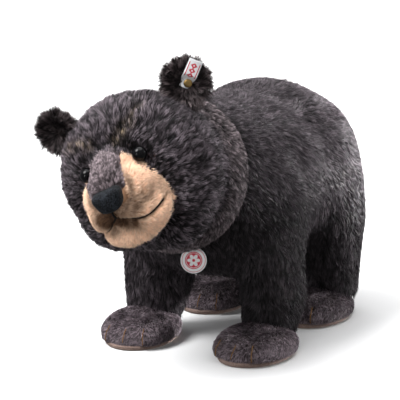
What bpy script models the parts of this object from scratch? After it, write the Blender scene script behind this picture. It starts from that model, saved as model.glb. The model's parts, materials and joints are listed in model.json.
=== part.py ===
"""A standing plush bear: sewn from pile cloth and firmly stuffed.

The body is a barrel on four upright legs, with short-pile paws on felt soles,
a big round head set on at a seam, a pale blunt muzzle with a felt nose, glass
eyes, cupped ears, a brass ear rivet that holds a folded cloth tag, and a
round card tag on the chest.

Metres, +Z up. The bear faces -Y, so its left side is +X. The origin is on the
floor, in the middle of the whole figure's box. Every piece reaches out to the
tips of its pile.
"""

import math

import bmesh
import bpy
from mathutils import Euler, Matrix, Vector

for old in list(bpy.data.objects):
    bpy.data.objects.remove(old, do_unlink=True)

# ---------------------------------------------------------------- sizes, mm
MM = 0.001
GAP = 0.35                # between sewn pieces

# trunk
BARREL = ((0, 5, 159), (94, 140, 90))
RUMP = ((0, 68, 159), (100, 96, 93))
SHOULDERS = ((0, -52, 159), (93, 84, 90))
HIPS = ((31, 89, 157), (66, 70, 81))

# the seam where the head is set on
NECK_CENTRE = (1.5, -122.4, 187.4)
NECK_TILT = 11            # degrees, the seam's axis rises to the front
NECK_YAW = 4.6            # degrees, and swings to the left
NECK_RADIUS = 79.5
RIM_RADIUS = 13

# head: ball centre and how it is turned
HEAD_CENTRE = (1.5, -192.3, 196.8)
HEAD_YAW, HEAD_PITCH, HEAD_ROLL = 16.1, 13.2, 24.6

# forward, to its left, up, in the head's own frame
EYES = {"left": (51, 28.9, 39.2), "right": (51, -27.0, 38.2)}
EYE_RADIUS = 7.2
EAR = (-32, 70, 61)
EAR_RADIUS = 27
EAR_DEPTH = 11
NOSE = (88, -2.6, 22)
NOSE_HALF = (12, 17, 11.5)

# legs: middle of each paw, and the way it turns in
FRONT_PAW = (65, -76)
REAR_PAW = (59.5, 76)
PAW_TURN = 5
PAW_LENGTH, PAW_WIDTH, PAW_HEIGHT = 99, 77, 28
SOLE_LENGTH, SOLE_WIDTH, SOLE_THICK = 95, 69, 4.5
FULLER = {
    "front_left": [(72.5, -38, 108, (29, 29, 29)), (73.5, -42, 52, (29, 30, 26)), (69, -46, 32, (28, 28, 22))],
    "front_right": [(-44, -38, 92, (28, 28, 28)), (-50, -41, 64, (28, 28, 28)), (-58, -44.5, 34, (27, 27, 24))],
}

# trimmings
RIVET_RADIUS = 4.2
RIVET_THICK = 1.7
TAG_WIDTH, TAG_THICK = 13.2, 0.9
TAG_LEAN = 40.5           # degrees, how the strip lies across the ear's front
TAG_LINE = ((-5.5, 5.0), (3.5, 5.0), (9.0, 10.0), (24.0, 8.5))  # along, forward
TAG_RIVET = (1.9, -0.2)   # to the side and up from the ear's middle
HANG_TAG = (17.5, -121, 101.5)
HANG_TAG_TURN, HANG_TAG_TIP = 25, 10
HANG_TAG_RADIUS, HANG_TAG_THICK = 12.8, 1.4

# ------------------------------------------------------------- collections
PARTS = bpy.data.collections.new("plush_bear")
CUTTERS = bpy.data.collections.new("cutters")
bpy.context.scene.collection.children.link(PARTS)
bpy.context.scene.collection.children.link(CUTTERS)


def material(name, colour, roughness, metallic=0.0):
    m = bpy.data.materials.new(name)
    m.use_nodes = True
    s = m.node_tree.nodes["Principled BSDF"]
    s.inputs["Base Color"].default_value = (*colour, 1)
    s.inputs["Roughness"].default_value = roughness
    s.inputs["Metallic"].default_value = metallic
    return m


def put(name, bm, collection=PARTS):
    mesh = bpy.data.meshes.new(name)
    bm.to_mesh(mesh)
    bm.free()
    ob = bpy.data.objects.new(name, mesh)
    collection.objects.link(ob)
    if collection is CUTTERS:
        ob.hide_render = True
        ob.display_type = "WIRE"
    return ob


def settle(ob):
    """Apply the object's modifiers to its mesh."""
    bpy.context.view_layer.update()
    deps = bpy.context.evaluated_depsgraph_get()
    mesh = bpy.data.meshes.new_from_object(ob.evaluated_get(deps))
    ob.modifiers.clear()
    ob.data = mesh
    return ob


def frame(centre, axes=None):
    m = Matrix.Identity(4) if axes is None else axes.to_4x4()
    m.translation = Vector(centre)
    return m


def ball(bm, centre, radii, axes=None, fine=3):
    """One stretched ball, in mm, on its own axes."""
    r = (radii,) * 3 if isinstance(radii, (int, float)) else radii
    at = Matrix.Scale(MM, 4) @ frame(centre, axes) @ Matrix.Diagonal((*r, 1))
    bmesh.ops.create_icosphere(bm, subdivisions=fine, radius=1, matrix=at)


def tube(bm, stations, axes=None, step=7):
    """Balls along a line of (centre, radii) stations."""
    for (c0, r0), (c1, r1) in zip(stations, stations[1:]):
        a, b = Vector(c0), Vector(c1)
        ra = Vector(r0 if isinstance(r0, tuple) else (r0,) * 3)
        rb = Vector(r1 if isinstance(r1, tuple) else (r1,) * 3)
        n = max(1, round((b - a).length / step))
        for i in range(n + 1):
            t = i / n
            ball(bm, a.lerp(b, t), tuple(ra.lerp(rb, t)), axes)


def soft(name, bm, voxel, smooth, triangles):
    """Run the shapes together into one soft closed form."""
    ob = put(name, bm)
    m = ob.modifiers.new("union", "REMESH")
    m.mode = "VOXEL"
    m.voxel_size = voxel * MM
    s = ob.modifiers.new("soften", "SMOOTH")
    s.factor = 0.5
    s.iterations = smooth
    settle(ob)
    return thin(ob, triangles)


def thin(ob, triangles):
    count = sum(len(p.vertices) - 2 for p in ob.data.polygons)
    if count > triangles:
        d = ob.modifiers.new("thin", "DECIMATE")
        d.ratio = triangles / count
        settle(ob)
    return ob


def grown(ob, by):
    """A copy with its walls moved out, to cut a neighbour with."""
    copy = ob.copy()
    copy.data = ob.data.copy()
    copy.name = ob.name + "_room"
    CUTTERS.objects.link(copy)
    copy.hide_render = True
    copy.display_type = "WIRE"
    d = copy.modifiers.new("room", "DISPLACE")
    d.strength = by * MM
    d.mid_level = 0
    return settle(copy)


def block(name, centre, half, axes=None):
    bm = bmesh.new()
    at = Matrix.Scale(MM, 4) @ frame(centre, axes) @ Matrix.Diagonal((*half, 1))
    bmesh.ops.create_cube(bm, size=2, matrix=at)
    return put(name, bm, CUTTERS)


def cut(ob, cutter, keep="DIFFERENCE"):
    b = ob.modifiers.new("cut", "BOOLEAN")
    b.operation = keep
    b.solver = "EXACT"
    b.object = cutter
    settle(ob)
    return main_body(ob)


def main_body(ob):
    """Drop any crumb that a cut leaves beside the main body."""
    bm = bmesh.new()
    bm.from_mesh(ob.data)
    bm.verts.ensure_lookup_table()
    seen, groups = set(), []
    for v in bm.verts:
        if v.index in seen:
            continue
        stack, group = [v], []
        seen.add(v.index)
        while stack:
            w = stack.pop()
            group.append(w)
            for e in w.link_edges:
                o = e.other_vert(w)
                if o.index not in seen:
                    seen.add(o.index)
                    stack.append(o)
        groups.append(group)
    groups.sort(key=len)
    for group in groups[:-1]:
        bmesh.ops.delete(bm, geom=group, context="VERTS")
    bmesh.ops.triangulate(bm, faces=bm.faces)
    bm.to_mesh(ob.data)
    bm.free()
    return ob


def turn(x=0.0, y=0.0, z=0.0):
    return Euler((math.radians(x), math.radians(y), math.radians(z))).to_matrix()


# ------------------------------------------------------------- head's frame
def head_axes():
    yaw, pitch, roll = (math.radians(a) for a in (HEAD_YAW, HEAD_PITCH, HEAD_ROLL))
    f = Vector((math.sin(yaw) * math.cos(pitch), -math.cos(yaw) * math.cos(pitch), -math.sin(pitch)))
    l0 = Vector((math.cos(yaw), math.sin(yaw), 0))
    u0 = f.cross(l0)
    left = l0 * math.cos(roll) + u0 * math.sin(roll)
    up = -l0 * math.sin(roll) + u0 * math.cos(roll)
    return Matrix((f, left, up)).transposed()


HEAD = head_axes()


def on_head(p):
    return HEAD @ Vector(p) + Vector(HEAD_CENTRE)


# -------------------------------------------------------------------- trunk
neck_turn = turn(z=NECK_YAW) @ turn(x=-NECK_TILT)
neck_axis = neck_turn @ Vector((0, -1, 0))
bm = bmesh.new()
ball(bm, *BARREL, fine=4)
ball(bm, *RUMP, fine=4)
ball(bm, *SHOULDERS, fine=4)
for s in (1, -1):
    ball(bm, (HIPS[0][0] * s, *HIPS[0][1:]), HIPS[1], fine=4)
tube(bm, [((0, -70, 175), (83, 60, 79)), ((1.5, -110, 185), (74, 40, 74))], step=14)
trunk = soft("trunk", bm, 5, 12, 1000)

# --------------------------------------------------------------------- legs
legs, paws, soles = {}, {}, {}
for where, (px, py), sign in (
    ("front_left", FRONT_PAW, 1),
    ("front_right", FRONT_PAW, -1),
    ("rear_left", REAR_PAW, 1),
    ("rear_right", REAR_PAW, -1),
):
    front = where.startswith("front")
    way = turn(z=-PAW_TURN * sign)
    x = px * sign
    bm = bmesh.new()
    if front:
        tube(bm, [
            ((x + 1 * sign, py + 28, 22), (31, 30, 20)),
            ((x + 1 * sign, py + 27, 52), (32, 33, 26)),
            ((x - 2 * sign, py + 35, 108), (38.5, 48, 30)),
            ((x - 6 * sign, py + 38, 150), (43, 53, 44)),
        ])
        # the fuller side of each front leg, which stands a little outwards or inwards
        tube(bm, [((p[0], p[1], p[2]), p[3]) for p in FULLER[where]])
    else:
        tube(bm, [
            ((x + 2 * sign, py + 29, 22), (32, 32, 20)),
            ((x + 2 * sign, py + 28, 52), (34, 36, 26)),
            ((x + 2 * sign, py + 19, 108), (42, 51, 32)),
            ((x - 3 * sign, py + 12, 150), (45, 57, 44)),
        ])
    legs[where] = soft("leg_" + where, bm, 4.5, 8, 310)

    bm = bmesh.new()
    half_l, half_w = PAW_LENGTH / 2, PAW_WIDTH / 2
    low = SOLE_THICK + GAP
    for dx in (-half_w * 0.45, 0, half_w * 0.45):
        ball(bm, way @ Vector((dx, -2, 0)) + Vector((x, py, low + 5)),
             (half_w * 0.56, half_l - 6, PAW_HEIGHT - 8), way)
    ball(bm, way @ Vector((0, 1, 0)) + Vector((x, py, low + 1)), (half_w, half_l + 1, PAW_HEIGHT - 8), way)
    ball(bm, way @ Vector((0, 14, 0)) + Vector((x, py, low + 6)),
         (half_w * 0.8, half_l * 0.72, PAW_HEIGHT - 2), way)
    paws[where] = soft("paw_" + where, bm, 3.5, 6, 190)

    bm = bmesh.new()
    at = Matrix.Scale(MM, 4) @ frame((x, py - 2, SOLE_THICK / 2), way) @ Matrix.Diagonal(
        (SOLE_WIDTH / 2, SOLE_LENGTH / 2, SOLE_THICK, 1))
    bmesh.ops.create_cone(bm, cap_ends=True, segments=24, radius1=1, radius2=1, depth=1, matrix=at)
    sole = put("sole_" + where, bm)
    b = sole.modifiers.new("rounded", "BEVEL")
    b.width = 1.1 * MM
    b.segments = 1
    b.limit_method = "ANGLE"
    b.angle_limit = math.radians(50)
    soles[where] = settle(sole)

# --------------------------------------------------------------------- tail
bm = bmesh.new()
tube(bm, [((0, 146, 196), (17, 15, 17)), ((0, 161, 184), (16, 13, 18))])
tail = soft("tail", bm, 3, 8, 140)

# --------------------------------------------------------------------- head
bm = bmesh.new()


def lobe(forward, side, up, radii, both=False):
    for s in ((1, -1) if both else (1,)):
        ball(bm, on_head((forward, side * s, up)), radii, HEAD, fine=4)


lobe(-4, 0, 6, (76, 77, 76.5))
lobe(4, 29, -14, (57, 45, 46), both=True)
lobe(8, 16, -35, (48, 38, 39))
lobe(8, -10, -28, (50, 40, 37))
lobe(22, 22, 20, (40, 37, 38), both=True)
ring_axes = neck_turn @ turn(x=90)
at = Matrix.Scale(MM, 4) @ frame(Vector(NECK_CENTRE) + neck_axis * (RIM_RADIUS + 2), ring_axes)
for i in range(24):
    a = math.tau * i / 24
    r = NECK_RADIUS - RIM_RADIUS
    p = at @ Vector((r * math.cos(a), r * math.sin(a), 0))
    ball(bm, p / MM, RIM_RADIUS)
tube(bm, [(on_head((-10, 0, 0)), (72, 40, 72)),
          (Vector(NECK_CENTRE) + neck_axis * 18, (NECK_RADIUS - 6, 12, NECK_RADIUS - 6))], neck_turn)
head = soft("head", bm, 4.5, 12, 1300)

bm = bmesh.new()
lobe(40, 0, -1, (50, 41, 38))
lobe(58, 12.5, -8, (31, 26.5, 26))
lobe(57, -15.5, 0, (31, 25.5, 23.5))
lobe(54, 15.5, 12, (30, 21, 27))
lobe(54, -18, 12, (30, 21, 27))
lobe(50, -3, 21, (37, 20, 28))
lobe(66, -2, 4, (27, 17, 22))
lobe(62, -1, -20.5, (25, 28, 22))
lobe(60, -12, -17, (25, 23, 21))
muzzle = soft("muzzle", bm, 3, 12, 560)

bm = bmesh.new()
lobe(NOSE[0], NOSE[1], NOSE[2], NOSE_HALF)
nose = soft("nose", bm, 2.2, 4, 160)

eyes, ears = {}, {}
for side, s in (("left", 1), ("right", -1)):
    bm = bmesh.new()
    ball(bm, on_head(EYES[side]), EYE_RADIUS, HEAD, fine=2)
    eyes[side] = put("eye_" + side, bm)

    bm = bmesh.new()
    lean = HEAD @ turn(z=14 * s, x=0)
    centre = on_head((EAR[0], EAR[1] * s, EAR[2]))
    ball(bm, centre, (EAR_DEPTH, EAR_RADIUS, EAR_RADIUS), lean)
    ear = soft("ear_" + side, bm, 2.6, 3, 260)
    bm = bmesh.new()
    ball(bm, centre + lean @ Vector((EAR_DEPTH + 5, 0, -2)), (12, EAR_RADIUS - 6, EAR_RADIUS - 6), lean)
    cut(ear, put("ear_cup_" + side, bm, CUTTERS))
    ears[side] = ear

# ---------------------------------------------------------------- trimmings
ear_way = HEAD @ turn(z=14)
ear_middle = on_head(EAR)
lean = math.radians(TAG_LEAN)
along = Vector((0, math.cos(lean), math.sin(lean)))
across = Vector((0, math.sin(lean), -math.cos(lean)))
rivet_at = Vector((0, *TAG_RIVET))


def on_ear(a, c, forward):
    """A point on the strip's own lines: along it, across it, and forward."""
    return ear_middle + ear_way @ (rivet_at + along * a + across * c + Vector((forward, 0, 0)))


bm = bmesh.new()
rows = [[bm.verts.new(on_ear(a, -1.5 + side * TAG_WIDTH / 2, forward) * MM) for side in (-1, 1)]
        for a, forward in TAG_LINE]
for (p, q), (r, s) in zip(rows, rows[1:]):
    bm.faces.new((p, r, s, q))
ear_tag = put("ear_tag", bm)
sheet = ear_tag.modifiers.new("cloth", "SOLIDIFY")
sheet.thickness = TAG_THICK * MM
sheet.offset = 0
settle(ear_tag)

bm = bmesh.new()
face = Matrix((across, along, Vector((1, 0, 0)))).transposed()
at = Matrix.Scale(MM, 4) @ frame(
    on_ear(0, 0, TAG_LINE[0][1] + TAG_THICK / 2 + GAP + RIVET_THICK / 2), ear_way @ face)
bmesh.ops.create_cone(bm, cap_ends=True, segments=20, radius1=RIVET_RADIUS, radius2=RIVET_RADIUS,
                      depth=RIVET_THICK, matrix=at)
rivet = put("ear_rivet", bm)
b = rivet.modifiers.new("domed", "BEVEL")
b.width = 1.0 * MM
b.segments = 2
b.limit_method = "ANGLE"
b.angle_limit = math.radians(50)
settle(rivet)

bm = bmesh.new()
at = Matrix.Scale(MM, 4) @ frame(HANG_TAG, turn(z=HANG_TAG_TURN) @ turn(x=90 - HANG_TAG_TIP))
bmesh.ops.create_cone(bm, cap_ends=True, segments=28, radius1=HANG_TAG_RADIUS,
                      radius2=HANG_TAG_RADIUS, depth=HANG_TAG_THICK, matrix=at)
hang_tag = put("hang_tag", bm)

# --------------------------------------------------- part the pieces by cuts
behind = block("behind_neck", Vector(NECK_CENTRE) - neck_axis * 200, (200, 200, 200), neck_turn)
ahead = block("ahead_of_neck", Vector(NECK_CENTRE) + neck_axis * (200 - GAP), (200, 200, 200), neck_turn)
cut(head, behind)
cut(trunk, ahead)
floor = block("under_feet", (0, 0, SOLE_THICK + GAP - 100), (400, 400, 100))
for where, leg in legs.items():
    cut(leg, floor)
    cut(trunk, grown(leg, GAP))
    cut(paws[where], floor)
    cut(paws[where], grown(leg, GAP))
cut(tail, grown(trunk, GAP))
for side in ("left", "right"):
    cut(head, grown(eyes[side], GAP))
cut(muzzle, grown(nose, GAP))
cut(muzzle, grown(head, GAP))
for side in ("left", "right"):
    cut(ears[side], grown(head, GAP))
cut(ears["left"], grown(ear_tag, GAP))
for piece in (trunk, head):
    cut(piece, grown(hang_tag, GAP))

# ------------------------------------------- origin under the figure's middle
low, high = Vector((9, 9, 9)), Vector((-9, -9, -9))
for ob in PARTS.objects:
    for v in ob.data.vertices:
        low = Vector(map(min, low, v.co))
        high = Vector(map(max, high, v.co))
SHIFT = Vector((-(low.x + high.x) / 2, -(low.y + high.y) / 2, -low.z))
for ob in PARTS.objects:
    ob.data.transform(Matrix.Translation(SHIFT))

# ---------------------------------------------------------------- materials
pile = material("long_pile", (0.030, 0.028, 0.031), 0.85)
short = material("short_pile", (0.045, 0.040, 0.038), 0.9)
tan = material("tan_pile", (0.36, 0.22, 0.11), 0.9)
felt = material("sole_felt", (0.36, 0.29, 0.26), 0.95)
nose_felt = material("nose_felt", (0.010, 0.011, 0.016), 0.8)
glass = material("black_glass", (0.004, 0.004, 0.005), 0.05)
brass = material("brass", (0.60, 0.42, 0.16), 0.3, 1.0)
cloth = material("tag_cloth", (0.80, 0.80, 0.82), 0.8)
card = material("tag_card", (0.82, 0.80, 0.80), 0.4)
for ob in PARTS.objects:
    name = ob.name
    ob.data.materials.clear()
    ob.data.materials.append(
        glass if name.startswith("eye_") else
        brass if name == "ear_rivet" else
        cloth if name == "ear_tag" else
        card if name == "hang_tag" else
        nose_felt if name == "nose" else
        tan if name == "muzzle" else
        felt if name.startswith("sole_") else
        short if name.startswith("paw_") else
        pile)
    ob.data.shade_smooth()
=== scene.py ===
"""The looks of a standing mohair plush bear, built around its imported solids.

Lengths inside this file are millimetres in the figure's working frame, whose
origin lies between the paws; lay() turns them into the frame's metres.
"""
import json
import math

import bmesh
import bpy
import numpy as np
from mathutils import Euler, Matrix, Vector
from mathutils.bvhtree import BVHTree
from mathutils.kdtree import KDTree

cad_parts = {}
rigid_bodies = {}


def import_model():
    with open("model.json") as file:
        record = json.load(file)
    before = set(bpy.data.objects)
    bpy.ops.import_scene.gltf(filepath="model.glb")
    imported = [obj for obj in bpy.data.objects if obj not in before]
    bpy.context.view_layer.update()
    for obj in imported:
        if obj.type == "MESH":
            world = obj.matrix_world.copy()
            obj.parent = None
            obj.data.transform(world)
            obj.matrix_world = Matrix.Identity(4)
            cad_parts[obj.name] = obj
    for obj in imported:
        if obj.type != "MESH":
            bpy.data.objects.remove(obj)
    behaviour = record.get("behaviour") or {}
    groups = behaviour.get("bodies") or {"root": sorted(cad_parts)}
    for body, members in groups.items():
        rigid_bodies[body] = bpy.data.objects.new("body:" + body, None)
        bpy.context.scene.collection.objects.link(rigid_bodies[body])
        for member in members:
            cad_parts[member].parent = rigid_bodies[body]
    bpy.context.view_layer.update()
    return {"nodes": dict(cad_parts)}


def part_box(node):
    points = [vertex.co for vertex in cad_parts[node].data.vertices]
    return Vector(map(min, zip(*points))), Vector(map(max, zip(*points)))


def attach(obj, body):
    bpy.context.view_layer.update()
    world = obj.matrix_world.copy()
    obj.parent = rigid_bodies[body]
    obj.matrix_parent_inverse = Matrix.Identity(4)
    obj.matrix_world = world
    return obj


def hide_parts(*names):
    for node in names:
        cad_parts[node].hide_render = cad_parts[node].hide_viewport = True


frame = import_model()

SHARE = 1.0          # share of the coat drawn in a trial
rng = np.random.default_rng(20)

# ------------------------------------------------------------ working frame
SOLES = ["sole_front_left", "sole_front_right", "sole_rear_left", "sole_rear_right"]
middle = sum(((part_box(n)[0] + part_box(n)[1]) / 2 for n in SOLES), Vector()) / 4
SHIFT = np.array([middle.x * 1000, middle.y * 1000 + 2.0, 0.0])
V = np.array


def lay(points):
    """Working millimetres to the frame's metres."""
    return (np.asarray(points, float) + SHIFT) * 0.001


def unit(v):
    v = np.asarray(v, float)
    return v / np.maximum(np.linalg.norm(v, axis=-1, keepdims=True), 1e-9)


def smooth01(x, a, b):
    t = np.clip((np.asarray(x, float) - a) / (b - a), 0, 1)
    return t * t * (3 - 2 * t)


# head: its middle and how it is turned
HEAD_CENTRE = V([1.5, -192.3, 196.8])
YAW, PITCH, ROLL = np.radians([16.1, 13.2, 24.6])
_f = V([math.sin(YAW) * math.cos(PITCH), -math.cos(YAW) * math.cos(PITCH), -math.sin(PITCH)])
_l0 = V([math.cos(YAW), math.sin(YAW), 0.0])
_u0 = np.cross(_f, _l0)
_l = _l0 * math.cos(ROLL) + _u0 * math.sin(ROLL)
_u = -_l0 * math.sin(ROLL) + _u0 * math.cos(ROLL)
HEAD = np.stack([_f, _l, _u], 1)          # columns: forward, to its left, up


def on_head(p):
    return np.asarray(p, float) @ HEAD.T + HEAD_CENTRE


def in_head(p):
    return (np.asarray(p, float) - HEAD_CENTRE) @ HEAD


EYES = {1: V([51.0, 28.9, 39.2]), -1: V([51.0, -27.0, 38.2])}
EYE_RADIUS = 7.2
EAR = V([-32.0, 70.0, 61.0])
EAR_LEAN = math.radians(14)
NECK_CENTRE = V([1.5, -122.4, 187.4])
NECK_TURN = V(Euler((0, 0, math.radians(4.6))).to_matrix() @ Euler((math.radians(-11), 0, 0)).to_matrix())
NECK_AXIS = NECK_TURN @ V([0, -1.0, 0])
NECK_RADIUS = 79.5
RIM = NECK_RADIUS - 13                    # the ruff's own middle line
PAWS = {"front_left": (65, -76, 1), "front_right": (-65, -76, -1),
        "rear_left": (59.5, 76, 1), "rear_right": (-59.5, 76, -1)}
PAW_TURN = math.radians(5)


def ear_axes(s):
    a = EAR_LEAN * s
    return HEAD @ V([[math.cos(a), -math.sin(a), 0], [math.sin(a), math.cos(a), 0], [0, 0, 1]])


# --------------------------------------------------------------- mesh tools
def new_object(name, verts, faces, smooth=True):
    """verts in working millimetres."""
    me = bpy.data.meshes.new(name)
    me.from_pydata([tuple(v) for v in lay(verts)], [], [tuple(int(i) for i in f) for f in faces])
    me.validate()
    me.update()
    if smooth:
        me.shade_smooth()
    ob = bpy.data.objects.new(name, me)
    bpy.context.scene.collection.objects.link(ob)
    return ob


def settle(ob):
    bpy.context.view_layer.update()
    deps = bpy.context.evaluated_depsgraph_get()
    me = bpy.data.meshes.new_from_object(ob.evaluated_get(deps))
    ob.modifiers.clear()
    ob.data = me
    return ob


def soften(ob, voxel=None, smooth=0, factor=0.5):
    if voxel:
        m = ob.modifiers.new("r", "REMESH")
        m.mode, m.voxel_size = "VOXEL", voxel * 0.001
        m.use_smooth_shade = True
    if smooth:
        m = ob.modifiers.new("s", "SMOOTH")
        m.factor, m.iterations = factor, smooth
    return settle(ob)


def coords(ob):
    co = np.empty(len(ob.data.vertices) * 3, np.float32)
    ob.data.vertices.foreach_get("co", co)
    return co.reshape(-1, 3).astype(float) * 1000 - SHIFT


def set_coords(ob, p):
    ob.data.vertices.foreach_set("co", lay(p).astype(np.float32).ravel())
    ob.data.update()


def normals(ob):
    no = np.empty(len(ob.data.vertices) * 3, np.float32)
    ob.data.vertex_normals.foreach_get("vector", no)
    return no.reshape(-1, 3).astype(float)


def triangles(ob):
    me = ob.data
    me.calc_loop_triangles()
    t = np.empty(len(me.loop_triangles) * 3, np.int32)
    me.loop_triangles.foreach_get("vertices", t)
    return t.reshape(-1, 3)


def balls_object(name, items, fine=4):
    """items: (centre, radii, axes) in working millimetres."""
    bm = bmesh.new()
    for c, r, axes in items:
        r = (r, r, r) if np.isscalar(r) else tuple(r)
        m = Matrix([list(row) for row in axes]).to_4x4() if axes is not None else Matrix.Identity(4)
        m.translation = Vector(c)
        at = Matrix.Scale(0.001, 4) @ Matrix.Translation(Vector(SHIFT)) @ m @ Matrix.Diagonal((*r, 1))
        bmesh.ops.create_icosphere(bm, subdivisions=fine, radius=1, matrix=at)
    me = bpy.data.meshes.new(name)
    bm.to_mesh(me)
    bm.free()
    ob = bpy.data.objects.new(name, me)
    bpy.context.scene.collection.objects.link(ob)
    return ob


def chain(stations, axes=None, step=5):
    out = []
    for (c0, r0), (c1, r1) in zip(stations, stations[1:]):
        a, b = V(c0, float), V(c1, float)
        ra = V((r0,) * 3 if np.isscalar(r0) else r0, float)
        rb = V((r1,) * 3 if np.isscalar(r1) else r1, float)
        n = max(1, int(round(np.linalg.norm(b - a) / step)))
        for i in range(n + 1):
            t = i / n
            out.append((a + (b - a) * t, ra + (rb - ra) * t, axes))
    return out


def wobble(p, size, seed, terms=7):
    """Smooth wavy noise, about -1 to 1, with bumps about `size` across."""
    r = np.random.default_rng(seed)
    total = np.zeros(len(p))
    for _ in range(terms):
        k = unit(r.normal(size=3)) * (2 * math.pi / size) * r.uniform(0.6, 1.5)
        total += np.sin(p @ k + r.uniform(0, 2 * math.pi))
    return total / math.sqrt(terms) / 1.2


# ------------------------------------------------------- skin under the coat
HEAD_DEPTH, BODY_DEPTH = 5.8, 4.6


def head_lobes():
    d = HEAD_DEPTH
    items = []

    def lobe(f, l, u, r, both=False, depth=d):
        for s in ((1, -1) if both else (1,)):
            items.append((on_head((f, l * s, u)), V(r, float) - depth, HEAD))

    lobe(-4, 0, 6, (76, 77, 76.5))
    lobe(4, 29, -14, (57, 45, 46), True)
    lobe(8, 16, -35, (48, 38, 39))
    lobe(8, -10, -28, (50, 40, 37))
    lobe(22, 22, 20, (40, 37, 38), True)
    # the collar of the head where it is sewn to the neck
    for i in range(60):
        a = 2 * math.pi * i / 60
        p = NECK_CENTRE + NECK_AXIS * 14 + NECK_TURN @ V([math.cos(a), 0, math.sin(a)]) * RIM
        items.append((p, 9.0, None))
        for far, out, r in ((24, -2.0, 9.0), (33, -6.5, 8.0)):
            items.append((NECK_CENTRE + NECK_AXIS * far + NECK_TURN @ V([math.cos(a), 0, math.sin(a)]) * (RIM + out), r, None))
    items.extend(chain([(on_head((-10, 0, 0)), (69.5, 36, 69.5)),
                        (NECK_CENTRE + NECK_AXIS * 20, (RIM - 1.5, 8, RIM - 1.5))], NECK_TURN, 6))
    # muzzle: its middle, the full cheeks of it, lip, chin and the bridge
    m = 2.4
    lobe(40, 0, -1, (50, 41, 38), depth=m)
    lobe(58, 12.5, -8, (31, 26.5, 26), depth=m)
    lobe(57, -15.5, 0, (31, 25.5, 23.5), depth=m)
    lobe(54, 15.5, 12, (30, 21, 27), depth=m)
    lobe(54, -18, 12, (30, 21, 27), depth=m)
    lobe(66, -2, 4, (27, 17, 22), depth=m)
    lobe(62, -1, -20.5, (25, 28, 22), depth=m)
    lobe(60, -12, -17, (25, 23, 21), depth=m)
    items.extend(chain([(on_head((48, -1, 38.5)), V([18, 17, 17.5]) - m), (on_head((62, -3.5, 35.5)), V([16, 17.5, 17]) - m),
                        (on_head((76, -4.5, 29)), V([14, 18, 16.5]) - m), (on_head((85, -4, 22)), V([9, 16, 15]) - m)], HEAD, 4))
    return items


head = balls_object("head_skin", head_lobes())
soften(head, 2.0, 9)

# the lip line: its height on the muzzle by how far it is to the side
MOUTH_L = V([-38, -30, -23.6, -18.6, -13.9, -8.8, -5, -1.5, 1.8, 5.4, 9.5, 17.5, 24.5, 30.5, 34.5, 40])
MOUTH_U = V([-9.0, -10.3, -9.5, -7.4, -4.4, 0.2, 3.2, 2.2, -0.2, -2.9, -5.4, -7.0, -7.1, -5.9, -4.6, -1.5])


def mouth_height(l):
    return np.interp(l, MOUTH_L, MOUTH_U)


SEAM = V([(47, 9, 54), (42.5, 11.5, 56.5), (38.3, 16, 58), (31.8, 20.6, 61), (26.7, 25.2, 62.5), (14, 31, 65), (1.3, 36.4, 66), (-14, 42, 64.5)])


def seam_gap(h, s):
    """Distance to the forehead seam on one side."""
    best = np.full(len(h), 1e9)
    line = SEAM * V([1, s, 1])
    for a, b in zip(line, line[1:]):
        t = np.clip(((h - a) @ (b - a)) / ((b - a) @ (b - a)), 0, 1)
        best = np.minimum(best, np.linalg.norm(h - a - t[:, None] * (b - a), axis=1))
    return best


# where tan pile meets dark pile on the muzzle, as a distance from the axis
# (side 0, up 8) against the angle round it, 90 degrees being the top
MASK_ANGLE = V([-90, -75, -58, -49, -39, -29, -17, -5, 10, 21, 31, 44, 57, 67, 75, 82, 90.0])
MASK_LEFT = V([39.7, 40.8, 43.7, 45.2, 45.2, 44.8, 42.0, 41.0, 39.4, 39.0, 37.8, 36.2, 38.6, 41.2, 42.4, 45.4, 46.6])
MASK_RIGHT = V([39.7, 43.0, 45, 46, 46.5, 47, 47, 46.5, 44.5, 41.8, 40.0, 40.2, 43.0, 44.6, 45.5, 46.2, 46.6])


def mask_edge(l, u):
    a = np.degrees(np.arctan2(u - 8, np.abs(l)))
    k = smooth01(l, -4, 4)
    return k * np.interp(a, MASK_ANGLE, MASK_LEFT) + (1 - k) * np.interp(a, MASK_ANGLE, MASK_RIGHT)


def shape_face(ob):
    """Fold at the lips, fuller chin below it, sockets round the eyes."""
    p, n = coords(ob), normals(ob)
    h = in_head(p)
    f, l, u = h.T
    front = smooth01(f, 62, 70) * smooth01(-l, -42, -36) * smooth01(l, -31, -20)
    below = mouth_height(l) - u
    fold = np.exp(-(below / 2.3) ** 2) * front
    chin = np.exp(-((below - 11) / 8) ** 2) * smooth01(f, 64, 78) * smooth01(-np.abs(l), -34, -12)
    lip = np.exp(-((below + 9) / 7) ** 2) * np.exp(-((np.abs(l) - 18) / 11) ** 2) * smooth01(f, 60, 76)
    p = p - n * (2.6 * fold)[:, None] + n * (0.8 * chin + 0.6 * lip)[:, None]
    # the head falls back round the muzzle, which stands out of it
    past = np.hypot(l, u - 8) - mask_edge(l, u)
    p = p - n * (2.4 * np.exp(-((past - 3) / 4.5) ** 2) * smooth01(f, 30, 42))[:, None]
    # the seams of the forehead panel, from beside the bridge up to the ears
    for s in (1, -1):
        p = p - n * (2.6 * np.exp(-(seam_gap(h, s) / 4.5) ** 2))[:, None]
    for e in EYES.values():
        r = np.linalg.norm(h - e, axis=1)
        p = p - n * (3.6 * np.exp(-(r / 10) ** 2))[:, None]
    set_coords(ob, p)


shape_face(head)

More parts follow.
